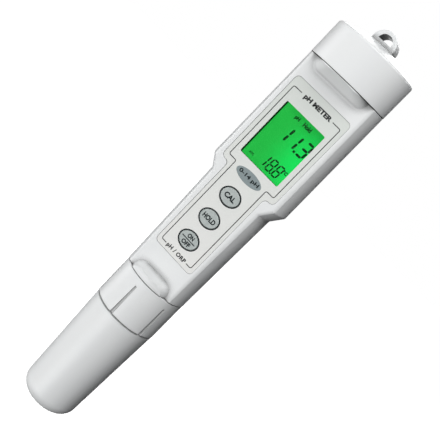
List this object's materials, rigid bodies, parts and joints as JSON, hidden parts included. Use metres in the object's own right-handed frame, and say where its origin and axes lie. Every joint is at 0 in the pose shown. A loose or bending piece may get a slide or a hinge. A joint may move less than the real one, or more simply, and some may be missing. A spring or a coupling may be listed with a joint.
{
  "type": "ph test pen",
  "caption": "Pocket pH and redox test pen with backlit display, oval keys, pull-off battery cap with lanyard eye, locking collar, electrode module and protective cap.",
  "frame": {"origin": "centre of the protective cap's flat base, on the pen's long axis", "axes": "+Z along the pen from the protective cap to the battery cap, -Y out of the display, +X to the right when facing the display"},
  "size_m": [0.0392, 0.035, 0.2058],
  "materials": {
    "housing_white": "satin moulded, fine grain",
    "label_silver": "satin printed polyester film",
    "window_clear": "polished clear acrylic",
    "bezel_black": "matte",
    "display_green": "backlit liquid crystal",
    "light_guide": "translucent, diffuse",
    "key_grey": "satin silicone",
    "board_green": "solder mask over glass cloth",
    "chip_black": "moulded epoxy",
    "carrier_grey": "moulded",
    "steel": "bright",
    "nickel": "plated",
    "seal_black": "smooth rubber",
    "module_white": "moulded",
    "module_grey": "moulded epoxy",
    "ph_glass": "thin glass",
    "ceramic_white": "porous",
    "gilt": "gold plated",
    "sponge_yellow": "open-cell sponge"
  },
  "bodies": {
    "housing": {"housing": "housing_white", "face_label": "label_silver", "display_lens": "window_clear", "display_bezel": "bezel_black", "display_glass": "display_green", "backlight_panel": "light_guide", "contact_strip": "seal_black", "keypad_mat": "key_grey", "tactile_switches": "chip_black", "main_board": "board_green", "board_chips": "chip_black", "board_carrier": "carrier_grey", "board_screws": "steel", "battery_holder": "module_white", "battery_cap_seal": "seal_black", "button_cell_1": "steel", "button_cell_2": "steel", "button_cell_3": "steel", "button_cell_4": "steel", "battery_contacts": "nickel", "module_socket": "bezel_black"},
    "key_cal": {"key_cal": "key_grey"},
    "key_hold": {"key_hold": "key_grey"},
    "key_on_off": {"key_on_off": "key_grey"},
    "battery_cap": {"battery_cap": "housing_white", "cell_bridge": "nickel"},
    "electrode_module": {"electrode_barrel": "module_white", "module_seal": "seal_black", "spigot_seal": "seal_black", "electrode_guard": "module_grey", "sensor_plug": "module_grey", "ph_glass": "ph_glass", "redox_pin": "nickel", "temperature_probe": "steel", "reference_junction": "ceramic_white", "measuring_wire": "nickel", "reference_wire": "nickel", "contact_pins": "gilt"},
    "collar_ring": {"collar_ring": "housing_white"},
    "protective_cap": {"protective_cap": "housing_white", "cap_bush": "seal_black", "storage_sponge": "sponge_yellow"}
  },
  "joints": [
    {"name": "key_cal_press", "type": "slide", "parent": "housing", "child": "key_cal", "axis": [0, 1, 0], "range_m": [0, 0.0005], "stiffness_N_per_m": 1500, "springref_m": -0.0002},
    {"name": "key_hold_press", "type": "slide", "parent": "housing", "child": "key_hold", "axis": [0, 1, 0], "range_m": [0, 0.0005], "stiffness_N_per_m": 1500, "springref_m": -0.0002},
    {"name": "key_on_off_press", "type": "slide", "parent": "housing", "child": "key_on_off", "axis": [0, 1, 0], "range_m": [0, 0.0005], "stiffness_N_per_m": 1500, "springref_m": -0.0002},
    {"name": "battery_cap_pull", "type": "slide", "parent": "housing", "child": "battery_cap", "axis": [0, 0, 1], "range_m": [0, 0.014]},
    {"name": "module_slide", "type": "slide", "parent": "housing", "child": "electrode_module", "axis": [0, 0, -1], "range_m": [0, 0.006]},
    {"name": "collar_turn", "type": "hinge", "parent": "electrode_module", "child": "collar_ring", "pos_m": [0, 0, 0.06165], "axis": [0, 0, -1], "range_deg": [0, 1440]},
    {"name": "protective_cap_pull", "type": "slide", "parent": "electrode_module", "child": "protective_cap", "axis": [0, 0, -1], "range_m": [0, 0.056]}
  ],
  "couplings": [
    {"joint": "module_slide", "follows": "collar_turn", "m_per_rad": 0.00023873}
  ]
}
